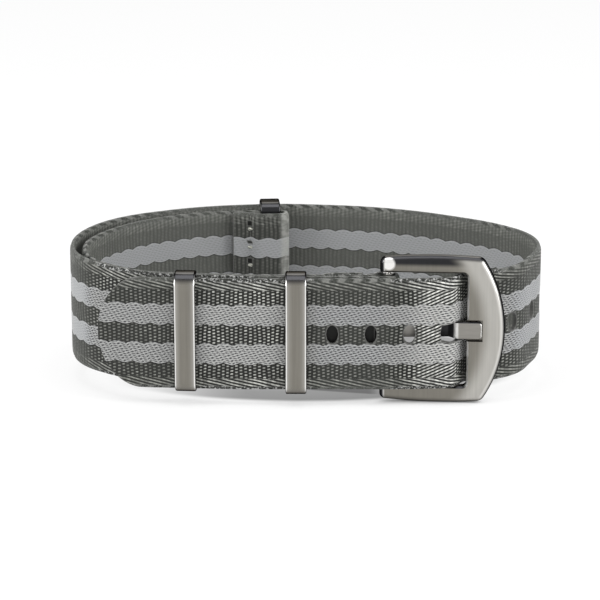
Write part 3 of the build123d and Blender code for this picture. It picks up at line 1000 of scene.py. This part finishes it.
@dataclass
class Webbing:
    """One strap of webbing: cut flat, worked, given its thickness, and bent along its route."""

    name: str
    node: str
    route: Route
    plan: StrapPlan
    rows: int = 36
    columns_per_pitch: int = 14
    selvedge_share: float = 0.5
    rim_share: float = 0.8
    near_rim_share: float = 0.92

    def cell(self) -> float:
        """Length of one cell of the flat strap."""
        return self.plan.hole_pitch / self.columns_per_pitch

    def flat_span(self) -> Point:
        """Where the even cells start and end along the strap."""
        length = self.route.length()
        return 0.0, round(length / self.cell()) * self.cell()

    def lay_flat(self) -> bpy.types.Object:
        """Adds the strap as a flat sheet of even cells, along X with Z across."""
        clear_selection()
        start, end = self.flat_span()
        columns = round((end - start) / self.cell())
        bpy.ops.mesh.primitive_grid_add(x_subdivisions=columns, y_subdivisions=self.rows, size=1,
                                        rotation=(math.pi / 2, 0, 0))
        piece = bpy.context.object
        piece.name = piece.data.name = self.name
        bpy.ops.object.transform_apply(rotation=True)
        length, width = (end - start) * MM, self.plan.width * MM
        with Bench(piece):
            bpy.ops.mesh.select_all(action="SELECT")
            bpy.ops.transform.resize(value=(length, 1, width), center_override=(0, 0, 0))
            bpy.ops.transform.translate(value=(start * MM + length / 2, 0, 0))
        return piece

    def work(self, piece: bpy.types.Object) -> None:
        """Cuts what the flat strap needs. A plain strap needs nothing."""

    def drift(self, along: float) -> float:
        """How far the strap wanders across its width at a distance along it."""
        return 0.0

    def glint_and_shade(self, along: float) -> float:
        """How much light is painted along the strap, from -1, painted shade, to 1, painted glints."""
        return -0.4

    def painted_light(self, along: float, across: float) -> float:
        """Light painted on the strap: -1 a highlight where a fold turns to the light, 2 shade, or 0."""
        return 0.0

    def mark(self, piece: bpy.types.Object) -> None:
        """Notes on the flat strap where each point lies in the weave, which edges are melted, and the
        painted light.
        """
        mesh = piece.data
        edit = bmesh.new()
        edit.from_mesh(mesh)
        half = self.plan.width / 2 * MM - 1e-6
        weave, sealed_and_painted, glint_and_shade, shares = [], [], [], {}
        for vert in edit.verts:
            rim = vert.is_boundary
            selvedge = rim and abs(vert.co.z) > half
            near = any(edge.other_vert(vert).is_boundary for edge in vert.link_edges)
            share = self.near_rim_share if near else 1.0
            if rim:
                share = self.selvedge_share if selvedge else self.rim_share
            shares.setdefault(share, []).append(vert.index)
            weave.extend((vert.co.x / MM, vert.co.z / MM, 0.0))
            # 1 on the cut edges, which are melted shut; elsewhere the painted light
            sealed_and_painted.append(1.0 if rim and not selvedge
                          else self.painted_light(vert.co.x / MM, vert.co.z / MM))
            glint_and_shade.append(self.glint_and_shade(vert.co.x / MM))
        edit.free()
        for name, kind, field_name, values in (("weave", "FLOAT_VECTOR", "vector", weave),
                                               ("sealed_and_painted", "FLOAT", "value", sealed_and_painted),
                                               ("glint_and_shade", "FLOAT", "value", glint_and_shade)):
            mesh.attributes.new(name, kind, "POINT").data.foreach_set(field_name, values)
        group = piece.vertex_groups.new(name="thick")
        for share, indices in shares.items():
            group.add(indices, share, "REPLACE")
        for vert in mesh.vertices:
            vert.co.z += self.drift(vert.co.x / MM) * MM

    def mark_sides(self, piece: bpy.types.Object) -> None:
        """Notes how far through the webbing each point lies, as the third weave coordinate."""
        mesh = piece.data
        weave = mesh.attributes["weave"].data
        values = [0.0] * len(weave) * 3
        weave.foreach_get("vector", values)
        values[2::3] = [vert.co.y / MM for vert in mesh.vertices]
        weave.foreach_set("vector", values)

    def build(self, origin: Vector, finish: bpy.types.Material) -> bpy.types.Object:
        """Makes the strap.

        Args:
            origin: Place of the strap's own plane, in metres.
            finish: Material of the webbing.

        Returns:
            The strap's object.
        """
        piece = self.lay_flat()
        self.work(piece)
        self.mark(piece)
        finish_with(piece, "SOLIDIFY", thickness=self.plan.thickness * MM, offset=0.0,
                    vertex_group="thick", use_even_offset=False)
        self.mark_sides(piece)
        path = self.route.path(self.name + "_route")
        finish_with(piece, "CURVE", object=path, deform_axis="POS_X")
        bpy.data.objects.remove(path)
        with Bench(piece):
            bpy.ops.mesh.select_all(action="SELECT")
            bpy.ops.mesh.normals_make_consistent(inside=False)
        settle(piece, origin)
        bpy.ops.object.shade_smooth_by_angle(angle=math.radians(50))
        piece.data.materials.append(finish)
        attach(piece, "strap")
        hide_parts(self.node)
        return piece


@dataclass
class ShortStrap(Webbing):
    """Short strap, which lies inside the main strap."""

    def drift(self, along: float) -> float:
        """The strap is low under the front keepers, and rides up round the wrist."""
        return 0.3 * plateau(along, 36.0, 60.0, 78.0, 96.0) - 0.22 * (1.0 - eased(along, 14.0, 44.0))

    def glint_and_shade(self, along: float) -> float:
        """Painted shade dims the strap where it rests inside the wrist's curve."""
        return -0.4 - 0.55 * eased(along, 60.0, 74.0)

    def painted_light(self, along: float, across: float) -> float:
        """A highlight is painted where the strap turns round the rear keeper, and shade at each stitch
        there.
        """
        corners = len(self.route.radii)
        turn = (self.route.station(corners - 3) + self.route.station(corners - 2)) / 2
        if along < turn + 4.0:
            return -plateau(along, turn - 1.2, turn - 0.4, turn + 1.4, turn + 2.2)
        from_row = abs(along - self.route.length() + self.plan.rear_seam_inset)
        pitch = self.plan.rear_pitch
        step = (across - self.plan.rear_stitch / 2 - 0.1) / pitch
        return 2.0 if from_row < 0.8 and abs(step - round(step)) * pitch < 0.45 else 0.0


@dataclass
class MainStrap(Webbing):
    """Long strap, with its holes, the tongue's slots and its rounded tail."""

    hole_length: float = 2.1
    hole_height: float = 3.35
    slot: Point = (2.7, 1.8)
    slot_lead: float = 2.1
    tip_steps: int = 14
    tip_turn: float = math.radians(84)
    drifts: tuple[Hump, ...] = (
        (0.72, 46.0, 72.0, 92.0, 106.0), (0.58, 92.0, 106.0, 126.0, 138.0),
        (0.45, 126.0, 138.0, 158.0, 172.0), (0.62, 158.0, 172.0, 188.0, 206.0))
    # Humps of painted glints and of painted shade, along the strap and past the tongue's hole
    glint_humps: tuple[Hump, ...] = ((0.25, 54.0, 58.0, 62.0, 66.0),)
    shade_humps: tuple[Hump, ...] = (
        (0.8, 8.0, 14.0, 34.0, 40.0), (0.95, 62.0, 70.0, 168.0, 176.0),
        (0.8, 168.0, 176.0, 196.0, 204.0))
    glint_humps_past_tongue: tuple[Hump, ...] = ((1.0, 0.0, 2.0, 5.0, 11.0), (0.35, 27.0, 31.0, 43.0, 46.0))
    shade_humps_past_tongue: tuple[Hump, ...] = ((0.6, 10.0, 14.0, 24.0, 28.0),)

    def flat_span(self) -> Point:
        """Cells that have each hole at the middle of a run of whole cells."""
        cell = self.cell()
        station = self.plan.tongue_station() + self.plan.hole_lead
        start = station - math.floor(station / cell) * cell
        end = self.route.length() - self.plan.tip_length
        return start, start + round((end - start) / cell) * cell

    def drift(self, along: float) -> float:
        """The strap rides up round the wrist, and its tail sinks a little."""
        ends = 0.27 * eased(along, 206.0, 222.0) + 0.25 * (1.0 - eased(along, 10.0, 50.0))
        return summed(along, self.drifts) - ends

    def glint_and_shade(self, along: float) -> float:
        """Glints are painted at bends, and shade is painted where the strap is pressed."""
        past = along - self.plan.tongue_station()
        glint_zone = summed(along, self.glint_humps) + summed(past, self.glint_humps_past_tongue)
        shade_zone = summed(along, self.shade_humps) + summed(past, self.shade_humps_past_tongue)
        return glint_zone - shade_zone - 0.4 * eased(past, 44.0, 50.0)

    def painted_light(self, along: float, across: float) -> float:
        """Painted shade: the webbing is dark where only the tail's holes look in on it."""
        return 2.0 if 14.0 < along < 38.0 and abs(across) < 4.0 else 0.0

    def open_patch(self, bench: Bench, middle: float, half: Point, size: Point,
                   roundness: float) -> None:
        """Opens one hole: a patch of cells comes out, and its rim is rounded and sized.

        Args:
            bench: The bench with the flat strap.
            middle: Distance along the strap to the hole's middle.
            half: Half the patch's length and height.
            size: Half the finished hole's length and height.
            roundness: How near the rim comes to an oval, from 0 to 1.
        """
        def inside(place: Vector, slack: float) -> bool:
            """Tells whether a place lies in the patch."""
            return (abs(place.x / MM - middle) < half[0] + slack
                    and abs(place.z / MM) < half[1] + slack)

        bench.pick(Part.FACE, lambda face: inside(face.calc_center_median(), 0.0))
        bpy.ops.mesh.delete(type="FACE")
        bench.pick(Part.VERT, lambda vert: vert.is_boundary and inside(vert.co, 0.05))
        centre = (middle * MM, 0, 0)
        if roundness:
            bpy.ops.transform.tosphere(value=roundness, center_override=centre)
        rim = bench.picked()
        wide = max(abs(place.x / MM - middle) for place in rim)
        high = max(abs(place.z / MM) for place in rim)
        bpy.ops.transform.resize(value=(size[0] / wide, 1, size[1] / high), center_override=centre)

    def work(self, piece: bpy.types.Object) -> None:
        """Draws out the rounded tip, and opens the holes and slots."""
        plan, cell, row = self.plan, self.cell(), self.plan.width / self.rows
        _, end = self.flat_span()
        turns = [self.tip_turn * step / self.tip_steps for step in range(self.tip_steps + 1)]
        with Bench(piece) as bench:
            bench.pick(Part.EDGE, lambda edge: all(v.co.x / MM > end - 0.01 for v in edge.verts))
            for before, after in zip(turns, turns[1:]):
                grown = plan.tip_length * (math.sin(after) - math.sin(before)) * MM
                bpy.ops.mesh.extrude_region_move(TRANSFORM_OT_translate={"value": (grown, 0, 0)})
                bpy.ops.transform.resize(value=(1, 1, math.cos(after) / math.cos(before)),
                                         center_override=(0, 0, 0))
            station = plan.tongue_station() + plan.hole_lead
            for index in range(plan.hole_count):
                middle = station - (index - plan.holes_past_tongue) * plan.hole_pitch
                if index == plan.holes_past_tongue:
                    self.open_patch(bench, middle - cell * 3, (cell * 5, row * 3), self.slot, 0.5)
                else:
                    self.open_patch(bench, middle, (cell * 2, row * 3),
                                    (self.hole_length / 2, self.hole_height / 2), 1.0)
            reach = self.slot_lead + math.pi * plan.fold_radius / 2
            self.open_patch(bench, plan.fold_station(), (reach, row * 3), (reach, self.slot[1]), 0.0)


# The sewing


@dataclass
class Seam:
    """Rows of thread loops through a stack of webbing."""

    name: str
    node: str
    place: Point
    outward: float
    outer: float
    inner: float
    stitch: float = 1.7
    pitch: float = 2.3
    count: int = 8
    row_gap: float = 1.5
    thread: float = 0.3
    proud: float = 0.06
    rows: int = 2
    lengthways: bool = False

    def one_stitch(self) -> bpy.types.Object:
        """Makes one loop of thread: a ring drawn out across the webbing and through it."""
        clear_selection()
        small = self.thread / 2 * MM
        bpy.ops.mesh.primitive_torus_add(major_segments=16, minor_segments=6,
                                         major_radius=small * 1.6, minor_radius=small,
                                         rotation=(0, math.pi / 2, 0))
        ring = bpy.context.object
        bpy.ops.object.transform_apply(rotation=True)
        high = (self.stitch - self.thread * 2.4) / 2 * MM
        deep = ((self.outer - self.inner - self.thread * 2.4) / 2 + self.proud) * MM
        with Bench(ring) as bench:
            for sign in (-1, 1):
                bench.pick(Part.VERT, lambda vert: vert.co.z * sign > 1e-7)
                bpy.ops.transform.translate(value=(0, 0, sign * high))
                bench.pick(Part.VERT, lambda vert: vert.co.y * sign > 1e-7)
                bpy.ops.transform.translate(value=(0, sign * deep, 0))
        return ring

    def build(self, origin: Vector, finish: bpy.types.Material) -> bpy.types.Object:
        """Makes the seam.

        Args:
            origin: Place of the strap's own plane, in metres.
            finish: Material of the thread.

        Returns:
            The seam's object.
        """
        first = self.one_stitch()
        middle = (self.outer + self.inner) / 2
        copies = []
        if self.lengthways:
            first.data.transform(Matrix.Rotation(math.pi / 2, 4, "Y"))
        for row in range(self.rows):
            for index in range(self.count):
                spot = stepped(self.place, self.outward - math.pi / 2, -row * self.row_gap)
                spot = stepped(spot, self.outward, middle)
                stitch = first.copy()
                stitch.data = first.data.copy()
                stitch.rotation_euler.z = self.outward - math.pi / 2
                height = (index - (self.count - 1) / 2) * self.pitch
                stitch.location = (spot[0] * MM, spot[1] * MM, height * MM)
                bpy.context.scene.collection.objects.link(stitch)
                copies.append(stitch)
        bpy.data.objects.remove(first)
        clear_selection()
        for stitch in copies:
            stitch.select_set(True)
        piece = copies[0]
        bpy.context.view_layer.objects.active = piece
        bpy.ops.object.join()
        bpy.ops.object.transform_apply(location=True, rotation=True, scale=True)
        settle(piece, origin)
        bpy.ops.object.shade_smooth()
        piece.name = piece.data.name = self.name
        piece.data.materials.append(finish)
        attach(piece, "strap")
        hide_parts(self.node)
        return piece


# The fittings


@dataclass
class Keeper:
    """Flat keeper: a strip of steel bent into a closed ring with round corners."""

    name: str
    node: str
    body: str
    lean: float
    top: float = 10.45
    bottom: float = -10.9
    depth: float = 5.2
    strip: float = 0.7
    width: float = 3.6
    corner: float = 2.1
    rim: float = 0.3
    dark_back: bool = False

    def build(self, origin: Vector) -> bpy.types.Object:
        """Makes the keeper round the middle of its node.

        Args:
            origin: Place of the strap's own plane, in metres.

        Returns:
            The keeper's object.
        """
        clear_selection()
        bpy.ops.mesh.primitive_plane_add(size=MM, rotation=(0, math.pi / 2, 0))
        piece = bpy.context.object
        piece.name = piece.data.name = self.name
        bpy.ops.object.transform_apply(rotation=True)
        height = self.top - self.bottom
        with Bench(piece) as bench:
            bpy.ops.mesh.select_all(action="SELECT")
            bpy.ops.transform.resize(value=(1, self.depth, height), center_override=(0, 0, 0))
            bpy.ops.transform.translate(
                value=(-self.width / 2 * MM, 0, (self.top + self.bottom) / 2 * MM))
            bpy.ops.mesh.bevel(offset=self.corner * MM, segments=10, affect="VERTICES")
            bpy.ops.mesh.select_all(action="SELECT")
            bpy.ops.mesh.inset(thickness=self.strip * MM, use_even_offset=True)
            bpy.ops.mesh.delete(type="FACE")
            bpy.ops.mesh.select_all(action="SELECT")
            bpy.ops.mesh.extrude_region_move(
                TRANSFORM_OT_translate={"value": (self.width * MM, 0, 0)})
            bpy.ops.mesh.select_all(action="SELECT")
            bpy.ops.mesh.normals_make_consistent(inside=False)
            bench.pick(Part.EDGE, lambda edge: edge.calc_face_angle(0.0) > math.radians(60))
            bpy.ops.mesh.bevel(offset=self.rim * MM, segments=3, affect="EDGES")
        low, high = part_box(self.node)
        piece.rotation_euler.z = self.lean
        settle(piece, Vector(((low.x + high.x) / 2, (low.y + high.y) / 2, origin.z)))
        bpy.ops.object.shade_smooth_by_angle(angle=math.radians(35))
        piece.data.materials.append(self.finish().make())
        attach(piece, self.body)
        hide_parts(self.node)
        return piece

    def finish(self) -> BrushedSteel:
        """Steel brushed along the strip, across the webbing's direction."""
        square = self.lean + math.pi / 2
        return BrushedSteel(self.name + "_steel", (math.cos(square), math.sin(square), 0.0),
                            (math.cos(self.lean), math.sin(self.lean), 0.0),
                            dark_back=self.dark_back)


@dataclass
class Fittings:
    """Steel fittings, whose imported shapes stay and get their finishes."""

    nodes: dict[str, bpy.types.Object]
    plan: StrapPlan
    origin: Vector
    bar_centre: float = -3.2
    crown_reach: Point = (18.5, 21.3)
    arm_end: Triple = (0.1, 0.85, 11.7)
    dark_rim: float = 2.1
    shank_reach: Point = (5.0, 11.7)

    def dress(self) -> None:
        """Gives each steel node its finish."""
        rise = self.plan.frame_rise
        frame = (-math.sin(rise), -math.cos(rise), 0.0)
        arm = (math.cos(rise), -math.sin(rise), 0.0)
        pin = self.origin + Vector((*self.plan.pin, 0.0)) * MM
        centre = tuple(pin + Vector(arm) * self.bar_centre * MM)
        crown = (centre, *(reach * MM for reach in self.crown_reach))
        ahead, out, up = self.arm_end
        tips = pin + (Vector(arm) * ahead + Vector(frame) * out) * MM
        ends = tuple(tuple(tips + Vector((0, 0, sign * up * MM))) for sign in (-1, 1))
        _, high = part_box("buckle_frame")
        # Painted light on the frame: crown, dark top band, dark arm ends, a glint; on the tongue,
        # painted shade
        finishes = {
            "buckle_frame": BrushedSteel("frame_steel", frame, arm, tilted_rough=0.34,
                                         dark_above=high.z - self.dark_rim * MM,
                                         crown=crown, ends=ends, glints=ends[1:]),
            "buckle_tongue": BrushedSteel("tongue_steel", frame, arm, grain=(60.0, 2600.0, 2600.0),
                                          face=(0.26, 0.25, 0.23), tilted_rough=0.5, matte=0.75,
                                          nook_shade=0.0016, shank_shade=(
                                              tuple(pin), *(reach * MM for reach in self.shank_reach))),
        }
        for name, finish in finishes.items():
            self.cover(name, finish.make())
        turned = TurnedSteel().make()
        for name in ("spring_bar_barrel", "spring_bar_plunger_top", "spring_bar_plunger_bottom",
                     "spring_bar_spring"):
            self.cover(name, turned)

    def cover(self, name: str, finish: bpy.types.Material) -> None:
        """Puts a finish on one node."""
        node = self.nodes[name]
        if not node.material_slots:
            node.data.materials.append(finish)
        for slot in node.material_slots:
            slot.material = finish
        LOG.info("%s finished in %s", name, finish.name)


# The studio


@dataclass(frozen=True)
class Softbox:
    """One rectangular lamp that faces the strap."""

    name: str
    place: tuple[float, float, float]
    size: Point
    power: float

    def build(self, target: Vector) -> None:
        """Adds the lamp, turned to a point."""
        lamp = bpy.data.lights.new(self.name, "AREA")
        lamp.shape = "RECTANGLE"
        lamp.size, lamp.size_y = self.size
        lamp.energy = self.power
        body = bpy.data.objects.new(self.name, lamp)
        body.location = self.place
        body.rotation_euler = (target - body.location).to_track_quat("-Z", "Y").to_euler()
        bpy.context.scene.collection.objects.link(body)


@dataclass
class Studio:
    """Pale floor, soft lamps and the camera."""

    target: Vector
    elevation: float = math.radians(17.5)
    distance: float = 0.520
    lens: float = 175.5
    shift: Point = (-0.0058, -0.0060)
    floor_size: float = 8.0
    loop_shift: float = 2.1
    loop_half: Point = (40.0, 20.5)
    loop_shade: float = 0.76
    front_slope: float = 0.2
    front_shade: float = 0.9
    lamps: list[Softbox] = field(default_factory=lambda: [
        Softbox("top_box", (0.0, -0.05, 0.55), (0.5, 0.4), 2.6),
        Softbox("right_box", (0.5, -0.22, 0.22), (0.22, 0.4), 2.2),
        Softbox("left_box", (-0.5, -0.22, 0.22), (0.22, 0.4), 2.2),
    ])

    def build(self) -> None:
        """Adds the floor, the world, the lamps and the camera."""
        self.floor()
        self.world()
        for lamp in self.lamps:
            lamp.build(self.target)
        self.camera()
        scene = bpy.context.scene
        scene.view_settings.view_transform = "Standard"

    def floor(self) -> None:
        """Adds the pale floor, which the camera and the steel see as white, with painted shadow near
        the strap.
        """
        clear_selection()
        bpy.ops.mesh.primitive_plane_add(size=self.floor_size)
        floor = bpy.context.object
        floor.name = "studio_floor"
        n = Nodes("pale_floor")
        rays = n.add("ShaderNodeLightPath").outputs
        seen = [Wire(n, rays[f"Is {kind} Ray"]) for kind in ("Camera", "Glossy", "Transmission")]
        seen = seen[0].at_least(seen[1]).at_least(seen[2])
        plain = n.out("ShaderNodeBsdfDiffuse", 0, {"Color": (0.8, 0.8, 0.8, 1.0)})
        shaded = self.shaded(n) * 0.985
        # Painted shadow: the glow darkens near the strap and where the painted shadow lies
        glow = n.dimmed((1.0, 1.0, 1.0), n.openness(0.006, 8).ramp(-0.1, 0.7) * (1.0 - shaded))
        glow = n.out("ShaderNodeEmission", 0, {"Color": glow})
        share = seen * n.math("MAXIMUM", shaded, 0.8)
        mixed = n.out("ShaderNodeMixShader", 0, {0: share, 1: plain, 2: glow})
        n.add("ShaderNodeOutputMaterial", {"Surface": mixed})
        floor.data.materials.append(n.material)

    def shaded(self, n: Nodes) -> Wire:
        """Share of the floor with painted shadow: inside the loop, and close behind its front."""
        middle = tuple(self.target + Vector((0.0, self.loop_shift * MM, 0.0)))
        offset = n.out("ShaderNodeVectorMath", 0, {0: n.place(), 1: middle}, operation="SUBTRACT")
        x, y = (part / MM for part in n.split(offset)[:2])
        wide, deep = (part / half for part, half in zip((x, y), self.loop_half))
        reach = wide * wide + deep * deep
        loop = reach.ramp(1.08, 0.9) * reach.ramp(0.0, 0.6)
        soft = loop * (x.ramp(-36.0, -8.0) * x.ramp(40.0, 26.0)) * self.loop_shade
        front = x * self.front_slope + y
        strip = front.ramp(-17.0, -14.0) * y.ramp(-7.0, -12.5) * self.front_shade
        return soft.at_least(strip * (x.ramp(-8.0, 2.0) * x.ramp(21.0, 11.0)))

    def world(self) -> None:
        """Makes the surroundings white to the eye and grey as a light."""
        world = bpy.data.worlds.new("studio")
        bpy.context.scene.world = world
        world.use_nodes = True
        tree = world.node_tree
        rays = tree.nodes.new("ShaderNodeLightPath").outputs
        background = tree.nodes["Background"]
        background.inputs["Color"].default_value = (1.0, 1.0, 1.0, 1.0)
        either = tree.nodes.new("ShaderNodeMath")
        either.operation = "MAXIMUM"
        tree.links.new(rays["Is Camera Ray"], either.inputs[0])
        tree.links.new(rays["Is Glossy Ray"], either.inputs[1])
        level = tree.nodes.new("ShaderNodeMapRange")
        level.inputs["To Min"].default_value = 0.5
        level.inputs["To Max"].default_value = 1.0
        tree.links.new(either.outputs[0], level.inputs["Value"])
        tree.links.new(level.outputs[0], background.inputs["Strength"])

    def camera(self) -> None:
        """Adds the camera in front of the strap, looking a little down on it."""
        lens = bpy.data.cameras.new("camera")
        lens.lens, lens.sensor_width = self.lens, 36.0
        lens.shift_x, lens.shift_y = self.shift
        lens.clip_start, lens.clip_end = 0.01, 20.0
        body = bpy.data.objects.new("camera", lens)
        away = Vector((0, -math.cos(self.elevation), math.sin(self.elevation)))
        body.location = self.target + away * self.distance
        body.rotation_euler = (-away).to_track_quat("-Z", "Y").to_euler()
        bpy.context.scene.collection.objects.link(body)
        bpy.context.scene.camera = body


def main() -> None:
    """Builds the strap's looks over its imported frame."""
    logging.basicConfig(level=logging.INFO, format="%(name)s: %(message)s")
    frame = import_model()
    plan = StrapPlan()
    low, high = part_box("keeper_front_near")
    origin = (low + high) / 2 - Vector((plan.pin[0] - plan.near_keeper, 0, 0)) * MM
    nylon, thread = StripedNylon().make(), SewingThread().make()
    pale_thread = SewingThread("pale_thread", (0.34, 0.345, 0.3)).make()

    main_strap = MainStrap("webbing_main", "main_strap", plan.main(), plan)
    short_strap = ShortStrap("webbing_short", "short_strap", plan.short(), plan)
    for strap in (main_strap, short_strap):
        piece = strap.build(origin, nylon)
        length = strap.route.length() * MM
        plan.width * MM
        LOG.info("%s: %.1f mm long, %d faces", piece.name, length / MM, len(piece.data.polygons))

    for seam in plan.seams():
        piece = seam.build(origin, pale_thread if seam.lengthways else thread)
        LOG.info("%s: %d faces", piece.name, len(piece.data.polygons))
    for keeper in plan.keepers():
        piece = keeper.build(origin)
        LOG.info("%s: %d faces", piece.name, len(piece.data.polygons))
    Fittings(frame["nodes"], plan, origin).dress()
    Studio(target=origin + Vector((0.0, LOOP_MIDDLE * MM, 0.0))).build()


if __name__ == "__main__":
    main()
